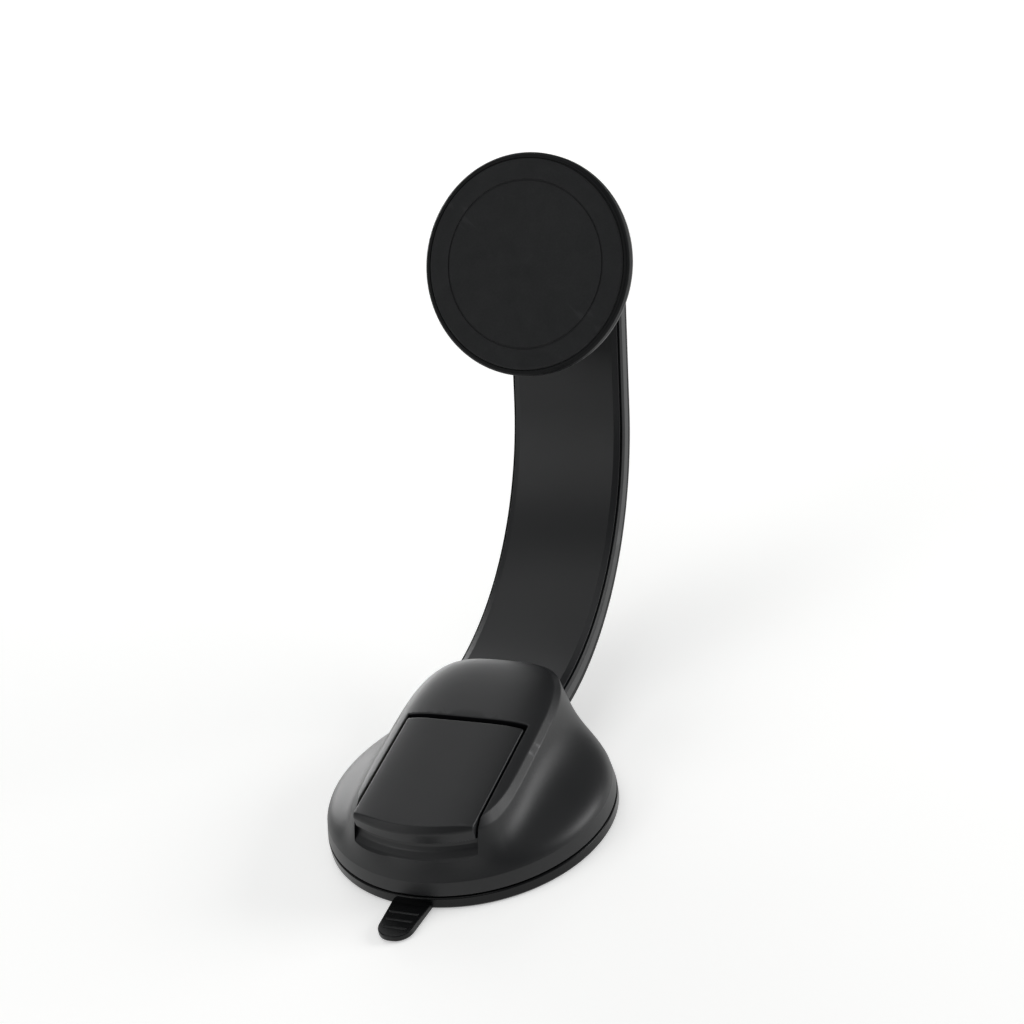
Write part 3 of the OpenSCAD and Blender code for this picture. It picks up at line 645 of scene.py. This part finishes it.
def strapSweep(name, section, fromBack, roundEnd=True):
    # section points are (across, depth behind the front face)
    section = np.asarray(section, float)
    stations = strapStations(fromBack)
    rings = []
    for k, (at, along, depth) in enumerate(stations):
        ring = np.zeros((len(section), 3))
        down = max(0.0, (k - strap["rootSteps"]) / (len(stations) - strap["rootSteps"] - 1))
        taper = 1 + strap["rootWider"] - (strap["rootWider"] + strap["endNarrower"]) * down
        ring[:, 0] = section[:, 0] * taper
        rings.append(ring + np.array(at, float) + section[:, 1:2] * np.array(depth, float))
    count, around = len(rings), len(section)
    points = [p for ring in rings for p in ring]
    faces = []
    for k in range(count - 1):
        for i in range(around):
            j = (i + 1) % around
            faces.append([k * around + i, (k + 1) * around + i, (k + 1) * around + j, k * around + j])
    faces.append(list(range(around)))
    if not roundEnd:
        faces.append([(count - 1) * around + i for i in reversed(range(around))])
        return makeMesh(name, points, faces)
    # the round end turns the right half of the section about the stud's axis
    at, along, depth = [np.array(v, float) for v in stations[-1]]
    turns, section = strap["endTurns"], section * np.array([taper, 1.0])
    edges = [(i, (i + 1) % around) for i in range(around)
             if section[i][0] > -1e-6 and section[(i + 1) % around][0] > -1e-6]
    for i, j in edges:
        for k in range(turns):
            quad = []
            for p, a in ((section[i], k), (section[j], k), (section[j], k + 1), (section[i], k + 1)):
                turn = math.pi * a / turns
                quad.append(at + p[0] * (math.cos(turn) * np.array([1.0, 0, 0]) + math.sin(turn) * along)
                            + p[1] * depth)
            faces.append(list(range(len(points), len(points) + 4)))
            points += quad
    return makeMesh(name, points, faces)


def envelopeCutter():
    # the slot in the housing that the strap's root sits in, with a little room all round
    margin = 0.2
    half, front, rear = strap["width"] / 2 + margin, -layers["proud"] - margin, strap["thick"] + margin
    section = roundCorners([(-half, front, 0.6), (half, front, 0.6), (half, rear, 3), (-half, rear, 3)], 4)
    return strapSweep("envelopeCutter", section, strap["rootBack"] - margin, roundEnd=False)


baseHousing = housingForm()
carve(baseHousing, [pocketCutter(), heelCutter(), recessCutter(), cavityCutter(), envelopeCutter()])
finishPiece(baseHousing, "stand", ["base_housing"], housingAbs)
print("housing built:", len(baseHousing.data.vertices), "points")


def leverOutline(inset):
    half, arc = lever["width"] / 2 - inset, lever["lipArc"] + lever["lipOut"] - inset
    back = lever["back"] / math.cos(math.radians(housing["slopeDeg"])) - inset
    centre = -lipFront + lever["lipArc"]
    start = (-half, centre - math.sqrt(arc**2 - half**2))
    lip = [(x, centre - math.sqrt(arc**2 - x**2)) for x in np.linspace(-half, half, 49)[1:-1]]
    end = (half, start[1])
    corner, lipCorner = max(lever["cornerRadius"] - inset, 0.25), max(lever["lipCorner"] - inset, 0.2)
    corners = [start + (lipCorner,)] + lip + [end + (lipCorner,)]
    corners += spaced(end, (half, back), 30) + [(half, back, corner)]
    corners += spaced((half, back), (-half, back), 30) + [(-half, back, corner)]
    corners += spaced((-half, back), start, 30)
    return roundCorners(corners, 6), centre


def leverTop(x, v, centre):
    # the crown of the top face, turned down in a bevel along the curved lip, the two blended softly
    over = np.hypot(x, v - centre) - lever["lipArc"]
    a = -crownDrop(x, x * 0)
    b = np.where(v < centre, -lever["bevelSlope"] * over, 9.0)
    soft = lever["bevelSoft"]
    h = np.clip(0.5 + (b - a) / (2 * soft), 0, 1)
    return b * (1 - h) + a * h - soft * h * (1 - h)


def leverFloor(x, v):
    # the underside: deeper in the skirt behind the lip, cut back under the rear edge
    inSkirt = np.clip((-lipFront + lever["skirt"] - v) / 0.4 + 1, 0, 1)
    low = -lever["thick"] - (lever["lipDrop"] - lever["thick"]) * inSkirt
    y = v * math.cos(math.radians(housing["slopeDeg"]))
    heel = pinHeight + 1 + lever["heelSlope"] * (y - (lever["back"] - lever["heelStep"])) - topAt(y)
    return np.maximum(low, heel)


def leverRing(inset, height, share=1.0):
    # one ring of the lever; a share below 1 draws it in towards the middle
    outline, centre = leverOutline(inset)
    middle = np.array([0, -12.0])
    ring = outline if share == 1 else middle + (outline - middle) * share
    return np.column_stack([ring, height(ring[:, 0], ring[:, 1], centre)])


def leverPlate():
    edge, under = lever["edge"], lever["underEdge"]

    def floor(x, v, centre):
        return leverFloor(x, v)

    def floorEdge(x, v, centre):
        return leverFloor(x, v) + under

    rings = [leverRing(7.5, leverTop, share) for share in (0.02, 0.2, 0.4, 0.6, 0.8)]
    rings += [leverRing(inset, leverTop)
              for inset in (7.5, 5, 3.4, 2.4, 1.9, 1.6, 1.4, 1.3, 1.2, 1.1, 1.0, 0.85, 0.7, 0.5)]
    for inset in [edge * (1 - math.sin(math.pi / 2 * k / 5)) for k in range(6)]:
        ring = leverRing(inset, leverTop)
        ring[:, 2] -= edge - math.sqrt(max(edge**2 - (edge - inset) ** 2, 0))
        rings.append(ring)
    rings.append(leverRing(0, floorEdge))
    rings += [leverRing(inset, floor) for inset in (under, 1.5, 3, 4.2, 5.5)]
    rings += [leverRing(5.5, floor, share) for share in (0.7, 0.4, 0.1)]
    return loftRings("leverPlate", onTop(np.array(rings)))


cam = {
    "offset": 1.45, "phaseDeg": 50, "radius": 4.5, "inside": 3.9, "outside": 9.0,
    "webFront": -5.0, "webBack": 2.5, "webInto": 0.6,
}


def camCheek(name, low, high):
    # an eccentric cam with its web, cut from a flat side outline and pushed across
    offset, phase, radius = cam["offset"], math.radians(cam["phaseDeg"]), cam["radius"]
    y, z = -offset * math.sin(phase), pinHeight - offset * math.cos(phase)
    start, end = math.atan2(2.26, -3.89), math.atan2(2.69, 3.61) + 2 * math.pi  # where the web leaves the cam
    outline = [(y + radius * math.cos(a), z + radius * math.sin(a)) for a in np.linspace(start, end, 40)]
    for web in (cam["webBack"], cam["webFront"]):
        outline.append((web, topAt(web) - lever["thick"] + cam["webInto"]))

    def across(rings):
        return np.stack([rings[..., 2], rings[..., 0], rings[..., 1]], -1)

    return prism(name, outline, low, high, 0.25, 3, across)


lockLever = joinPieces("lockLever", [
    leverPlate(), camCheek("camLeft", -cam["outside"], -cam["inside"]),
    camCheek("camRight", cam["inside"], cam["outside"]),
])
finishPiece(lockLever, "lever", ["lever"], leverAbs, 40)
print("lever built")

cup = {
    "radius": 36.75, "rimHeight": 3.2, "discRadius": 12.15, "discHeight": 3.35, "discTop": 5.1,
    "tabTip": -49.75, "tabWidth": 10.6, "tabThick": 1.6, "tabUp": 0.3, "tabSoft": 0.32, "tabCorner": 4.2,
    "ribs": 3, "ribStep": 2.7, "ribRadius": 0.45, "ribFirst": 4.4, "ribHalf": 3.9, "ribShorter": 0.4,
    "ribUp": 1.75,
    "still": 33.0, "moved": 14.5,  # the computed share ramps between these radii
    "skinLow": 2.0, "skinShare": 0.78,  # its lower skin gets a smaller share
}


def cupBody():
    r, h = cup["radius"], cup["rimHeight"]
    return lathe("cupBody", [
        (0, 1.6), (18, 1.1, 8), (r - 9, 0.3, 1.5), (r - 7.5, 0, 0.6), (r - 0.5, 0, 0.3), (r, 0.6, 0.4),
        (r, h - 0.25, 0.3), (r - 0.45, h, 0.3), (r - 6, h, 2), (13.6, 4.1, 0.6), (13.2, cup["discTop"], 0.3),
        (cup["discRadius"], cup["discTop"], 0.2), (cup["discRadius"], cup["discHeight"], 0.2),
        (0, cup["discHeight"]),
    ], around=240)


def pullTab():
    half, tip, corner = cup["tabWidth"] / 2, cup["tabTip"], cup["tabCorner"]
    outline = roundCorners([
        (-half, -cup["radius"] + 4, 0), (-half + 0.2, -cup["radius"] + 0.5, 2), (-half + 1, tip, corner),
        (half - 1, tip, corner), (half - 0.2, -cup["radius"] + 0.5, 2), (half, -cup["radius"] + 4, 0),
    ], 14)
    tab = prism("tabSlab", outline, cup["tabUp"], cup["tabUp"] + cup["tabThick"], cup["tabSoft"], 5)
    ribs = []
    for k in range(cup["ribs"]):
        half = cup["ribHalf"] - k * cup["ribShorter"]
        y = -cup["radius"] - cup["ribFirst"] - k * cup["ribStep"]
        place = Matrix.Translation((0, y * mm, cup["ribUp"] * mm)) @ Matrix.Rotation(math.pi / 2, 4, "Y")
        radius = cup["ribRadius"]
        bar = [(0, -half), (radius, -half, 0.3), (radius, half, 0.3), (0, half)]
        ribs.append(lathe("rib", bar, place, 24, 5))
    return [tab] + ribs


suctionCup = joinPieces("suctionCup", [cupBody()] + pullTab())
finishPiece(suctionCup, None, ["suction_cup"], cupTpu, 40)
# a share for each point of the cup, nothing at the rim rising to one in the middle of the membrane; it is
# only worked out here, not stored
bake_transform(suctionCup)
reach = np.array([math.hypot(v.co.x, v.co.y) for v in suctionCup.data.vertices]) / mm
height = np.array([v.co.z for v in suctionCup.data.vertices]) / mm
share = np.clip((cup["still"] - reach) / (cup["still"] - cup["moved"]), 0, 1)
share = share * share * (3 - 2 * share) * np.where(height < cup["skinLow"], cup["skinShare"], 1.0)
print("cup built")


def coil(name, radius, wire, low, high, turns):
    steps, sides = 240, 12
    rings = []
    for k in range(steps + 1):
        turn, up = 2 * math.pi * turns * k / steps, low + (high - low) * k / steps
        out = np.array([math.cos(turn), math.sin(turn), 0])
        centre = out * radius + np.array([0, 0, up])
        a = np.arange(sides) * 2 * math.pi / sides
        rings.append(centre + np.outer(np.cos(a), out) * wire + np.outer(np.sin(a), [0, 0, 1]) * wire)
    return loftRings(name, rings)


spring = {"radius": 7.2, "wire": 0.45, "low": 5.9, "high": 10.418, "turns": 2.6}
returnSpring = coil("returnSpring", *spring.values())
finishPiece(returnSpring, None, ["return_spring"], springWire, 60)
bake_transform(returnSpring)


def mirrored(corners):
    # the right half of a section, from its middle out, with its mirror image
    return corners + [(-c[0],) + tuple(c[1:]) for c in reversed(corners) if c[0] > 1e-6]


def strapFrameSection():
    half, back = strap["width"] / 2, layers["frameBack"]
    groove = half - layers["panelIn"] + layers["groove"]
    return roundCorners(mirrored([
        (0, layers["panelBack"]), (groove, layers["panelBack"], 0.12), (groove, layers["bandFront"], 0.14),
        (half, layers["bandEdge"], 0.35), (half, back, 0), (0, back),
    ]), 4)


def strapPanelSection():
    half, front = strap["width"] / 2 - layers["panelIn"], -layers["proud"]
    return roundCorners(mirrored([
        (0, front), (half - layers["flatIn"], front, 0), (half - layers["chamferIn"], front, 0.5),
        (half, 0, 0.16), (half, layers["panelBack"], 0), (0, layers["panelBack"]),
    ]), 4)


def strapCoverSection():
    half, rear, joined = strap["width"] / 2, strap["thick"], layers["frameBack"]
    inner = half - layers["coverIn"]
    return roundCorners(mirrored([
        (0, rear - layers["coverWall"]), (inner, rear - layers["coverWall"], 0.5), (inner, joined, 0),
        (half, joined, 0.12), (half, layers["coverSide"], 0.9), (half - layers["coverFlatIn"], rear, 1.4),
        (0, rear),
    ]), 5)


places = {  # the stud's foot on the strap and the ball's centre, in mm, and how the stud and the head lean
    "foot": (0, 105.009, 104.485), "ball": (0, 93.406, 108.255), "studDeg": 72.0, "headDeg": 63.1,
}


def leaning(at, degrees):
    return Matrix.Translation(Vector(at) * mm) @ Matrix.Rotation(math.radians(degrees), 4, "X")


footAt = leaning(places["foot"], places["studDeg"])
ballAt = leaning(places["ball"], places["studDeg"])
headAt = leaning(places["ball"], places["headDeg"])

strapFrame = strapSweep("strapFrame", strapFrameSection(), strap["rootBack"])
holes = {"stud": 2.6, "flange": 6.7, "flangeMouth": 7.6, "long": 30}
stud, long = holes["stud"], holes["long"]
carve(strapFrame, [lathe("studHole", [(0, -long), (stud, -long), (stud, long), (0, long)], footAt, 64)])
finishPiece(strapFrame, "stand", ["arm_frame"], strapNylon)

strapPanel = strapSweep("strapPanel", strapPanelSection(), strap["rootBack"] + 0.5)
flange, mouth = holes["flange"], holes["flangeMouth"]
carve(strapPanel, [lathe("flangeHole", [
    (0, -long), (flange, -long), (flange, 0.2), (7.0, 0.45), (mouth, 0.62), (mouth, long), (0, long),
], footAt, 96)])
finishPiece(strapPanel, "stand", ["arm_front_panel"], housingAbs)

strapCover = strapSweep("strapCover", strapCoverSection(), strap["rootBack"] + 1.5)
# the rear cover takes the darker ABS copy, whose darkness is painted shade
finishPiece(strapCover, "stand", ["arm_rear_cover"], paintedShadeAbs)
print("strap built")

joint = {
    "ball": 6.0, "neck": 2.4, "flange": 6.5, "flangeThick": 1.9, "seat": -13.1, "thread": 2.5,
    "threadLong": 5.1,
    "linerOut": 7.4, "linerPlay": 0.05, "linerFront": 4.4, "mouth": -3.12,
    "socketIn": 7.45, "socketOut": 9.2, "socketPast": 0.4,
    "flangeOut": 13.0, "flangeBack": 5.9, "flangeFront": 6.9, "slitHalf": 0.5, "slitFront": 1.5,
    "collarIn": 9.5, "collarOut": 12.6, "collarFront": 3.4,
    "knurls": 24, "knurlRadius": 0.9, "knurlOut": 0.35, "knurlEnd": 1.4, "knurlRise": 1.6,
}


def arc(radius, low, high, steps):
    # points of a circle about the axis between two heights
    return [(math.sqrt(max(radius**2 - z * z, 0)), z) for z in np.linspace(low, high, steps)]


ball, neck, flange, seat = joint["ball"], joint["neck"], joint["flange"], joint["seat"]
neckMeets = -math.sqrt(ball**2 - neck**2)
thread, threadEnd = joint["thread"], seat - joint["threadLong"]
studCorners = [
    (0, threadEnd), (thread, threadEnd, 0.3), (thread, seat, 0), (flange, seat, 0.1),
    (flange, seat + joint["flangeThick"], 0.4), (neck + 0.2, seat + 2.1, 0.8), (neck, neckMeets - 0.3, 0.5),
]
studCorners += [(ball * math.cos(a), ball * math.sin(a))
                for a in np.linspace(math.asin(neckMeets / ball), math.pi / 2, 40)]
ballStud = lathe("ballStud", studCorners, ballAt, 128)
finishPiece(ballStud, "stand", ["ball_stud"], groundSteel, 40)

outer, inner = joint["linerOut"], ball + joint["linerPlay"]
mouth, linerFront = joint["mouth"], joint["linerFront"]
linerCorners = arc(outer, mouth, linerFront, 24) + arc(inner, linerFront, mouth, 24)
socketLiner = lathe("socketLiner", linerCorners, headAt, 128)
finishPiece(socketLiner, "liner", ["socket_liner"], linerPom, 40)

back, flangeBack, flangeFront = mouth - joint["socketPast"], joint["flangeBack"], joint["flangeFront"]
socketCorners = [
    (joint["socketOut"], back, 0.25), (joint["socketOut"], flangeBack, 0.2),
    (joint["flangeOut"], flangeBack, 0.15), (joint["flangeOut"], flangeFront, 0.15),
]
socketCorners += arc(joint["socketIn"], flangeFront, back, 28)
socketHousing = lathe("socketHousing", socketCorners, headAt, 128)
slits = []
wide = joint["slitHalf"]
for k in range(2):
    turn = Matrix.Rotation(math.radians(45 + 90 * k), 4, "Z")
    corners = [(-20, -wide), (20, -wide), (20, wide), (-20, wide)]
    slits.append(placed(prism("slit", corners, back - 1, joint["slitFront"], 0.01, 1), headAt @ turn))
carve(socketHousing, slits)
finishPiece(socketHousing, "socket", ["socket_housing"], strapNylon, 40)


def knurl(angles, z):
    # grip grooves round the collar, run out before its front band
    step = 2 * math.pi / joint["knurls"]
    off = (angles + step / 2) % step - step / 2
    grooveOut, grooveRadius = joint["collarOut"] + joint["knurlOut"], joint["knurlRadius"]
    across = grooveOut * np.sin(off)
    inside = grooveOut * np.cos(off) - np.sqrt(np.maximum(grooveRadius**2 - across**2, 0))
    depth = np.where(np.abs(across) < grooveRadius, inside, 99)  # 99: no groove here
    return depth + max(0.0, z - (joint["collarFront"] - joint["knurlEnd"])) * joint["knurlRise"]


collarBack = mouth - 0.1
lockCollar = lathe("lockCollar", [
    (joint["collarIn"], collarBack, 0.2), (joint["collarOut"], collarBack, 0.45)]
    + [(joint["collarOut"], z) for z in (-1.5, 0.0, 1.2, 1.9, 2.1, 2.3, 2.5, 2.7)]
    + [(joint["collarOut"], joint["collarFront"], 0.4), (joint["collarIn"], joint["collarFront"], 0.2)],
    headAt, 384, 5, knurl)
finishPiece(lockCollar, "collar", ["lock_collar"], leverAbs, 40)
print("ball joint built")

head = {
    "radius": 28.6, "inner": 27.2, "hole": 9.6, "back": 3.8, "shelf": 7.1, "shellFront": 9.6, "front": 12.0,
    "carrierFront": 10.6, "grooveOut": 21.8, "grooveIn": 21.3, "grooveDeep": 0.25,
    "rimRings": (25.4, 24.2, 23.0), "padRings": (18.0, 14.0, 10.0, 7.0, 4.5, 2.5, 1.2, 0.5),
}

r, z, inner, front = head["radius"], head["back"], head["inner"], head["shellFront"]
headShell = lathe("headShell", [
    (head["hole"], z, 0.3), (r - 6.8, z, 2.0), (r - 4.6, z + 0.5, 3), (r - 2.2, z + 2, 3),
    (r - 0.6, z + 3.9, 3),
    (r, front - 0.9, 1.5), (r, front, 0.15), (inner, front, 0.1), (inner, head["shelf"], 0),
    (inner - 2.4, head["shelf"], 0), (r - 6.4, z + 2, 0.5), (head["hole"], z + 2, 0.2),
], headAt, 256, 6)
finishPiece(headShell, "head", ["head_shell"], housingAbs, 40)

low, high = head["shellFront"] + 0.02, head["front"]
frontRing = lathe("frontRing", [
    (inner, low, 0.05), (r, low, 0.15), (r, high - 0.9, 0.5), (r - 0.6, high - 0.3, 0.4),
    (inner, high - 0.3, 0.12),
], headAt, 256, 6)
# the front ring takes the same darker ABS copy, whose darkness is painted shade
finishPiece(frontRing, "head", ["front_ring"], paintedShadeAbs, 40)

front, padOut, padBack = head["front"], head["inner"] - 0.1, head["carrierFront"] + 0.02
grooveOut, grooveIn, grooveFloor = head["grooveOut"], head["grooveIn"], front - head["grooveDeep"]
siliconePad = lathe("siliconePad", [
    (0, padBack), (padOut, padBack, 0.05), (padOut, front - 0.4, 0.2), (padOut - 0.4, front, 0.3),
    *[(radius, front, 0) for radius in head["rimRings"]],
    (grooveOut, front, 0.12), (grooveOut - 0.04, grooveFloor, 0.1), (grooveIn + 0.04, grooveFloor, 0.1),
    (grooveIn, front, 0.12), *[(radius, front, 0) for radius in head["padRings"]], (0, front),
], headAt, 256, 4)
finishPiece(siliconePad, "head", ["silicone_pad"], padSilicone, 40)
print("head built")

# the base plate and magnet carrier take the darker ABS copy, whose darkness is painted shade
carried = {
    "cup_stem": strapNylon, "base_plate": paintedShadeAbs, "base_screws": platedSteel, "cam_plate": groundSteel,
    "lever_pin": groundSteel, "arm_screws": platedSteel, "stud_nut": platedSteel, "shunt_plate": platedSteel,
    "magnet_carrier": paintedShadeAbs, "ring_magnets": nickelPlate, "head_screws": platedSteel,
}
for nodeName, material in carried.items():
    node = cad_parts[nodeName]
    node.data.materials.clear()
    node.data.materials.append(material)
print("carried nodes finished:", len(carried))

# a white acrylic table lit from below, under a pale sky and five soft boxes
studio = {
    "floorColour": "#f4f4f2", "floorColourFar": "#f1f1ef", "floorHalf": 4000, "floorDown": 0.02,
    "mottleMm": 120, "floorGlow": 0.42, "skyColour": "#f2f4f6", "skyStrength": 0.19, "aim": (0, 0.05, 0.06),
}

half, down = studio["floorHalf"], -studio["floorDown"]
floorCorners = [(-half, -half, down), (half, -half, down), (half, half, down), (-half, half, down)]
floorMesh = makeMesh("floor", floorCorners, [[0, 1, 2, 3]])
floorPaint, floorTree, floorShader = newMaterial("litAcrylicFloor", **{
    "Roughness": 0.7, "Emission Color": toLinear("#ffffff"), "Emission Strength": studio["floorGlow"],
    "Specular IOR Level": 0.1,
})
place = addNode(floorTree, "ShaderNodeTexCoord").outputs["Object"]
mottle = addNode(
    floorTree, "ShaderNodeTexNoise", {"Vector": place, "Scale": perMetre(studio["mottleMm"]), "Detail": 2.0}
).outputs["Fac"]
tint = addNode(
    floorTree, "ShaderNodeMix",
    {0: mottle, 6: toLinear(studio["floorColour"]), 7: toLinear(studio["floorColourFar"])}, data_type="RGBA"
).outputs[2]
floorTree.links.new(tint, floorShader.inputs["Base Color"])
floorMesh.data.materials.append(floorPaint)
floorMesh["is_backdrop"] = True

world = bpy.data.worlds.new("studioSky")
scene.world = world
world.use_nodes = True
sky = world.node_tree.nodes["Background"]
sky.inputs["Color"].default_value = toLinear(studio["skyColour"])
sky.inputs["Strength"].default_value = studio["skyStrength"]

lights = {  # name: (place, size, watts), in metres, all turned towards the middle of the mount
    "lowLeftBack": ((-1.1, 1.1, 0.12), (1.2, 0.5), 13.0),
    "highLeftBack": ((-0.8, 1.0, 0.95), (0.8, 0.6), 1.8),
    "rightBack": ((1.1, 0.6, 0.5), (0.7, 0.6), 7.6),
    "topSoft": ((-0.2, 0.1, 1.5), (1.2, 1.0), 4.7),
    "frontLeft": ((-0.9, -1.0, 0.7), (0.8, 0.8), 3.9),
}
for name, (at, size, power) in lights.items():
    lamp = bpy.data.lights.new(name, "AREA")
    lamp.shape = "RECTANGLE"
    lamp.size, lamp.size_y = size
    lamp.energy = power
    softBox = bpy.data.objects.new(name, lamp)
    scene.collection.objects.link(softBox)
    softBox.location = at
    softBox.rotation_mode = "QUATERNION"
    softBox.rotation_quaternion = (Vector(studio["aim"]) - Vector(at)).to_track_quat("-Z", "Y")

view = {  # lens and sensor in mm, place in metres, then the way right, up and back from the lens
    "lens": 79.38, "sensor": 36.0, "near": 0.02, "far": 20.0, "at": (0.2391, -0.4021, 0.3280),
    "right": (0.9093, 0.3815, -0.1664), "up": (-0.0472, 0.4919, 0.8694), "behind": (0.4135, -0.7827, 0.4653),
}
camera = bpy.data.cameras.new("camera")
cameraObject = bpy.data.objects.new("camera", camera)
scene.collection.objects.link(cameraObject)
camera.lens, camera.sensor_width = view["lens"], view["sensor"]
camera.clip_start, camera.clip_end = view["near"], view["far"]
turned = Matrix((view["right"], view["up"], view["behind"])).transposed().to_4x4()
cameraObject.matrix_world = Matrix.Translation(view["at"]) @ turned
scene.camera = cameraObject
scene.view_settings.view_transform = "Standard"
print("studio ready")

low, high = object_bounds()
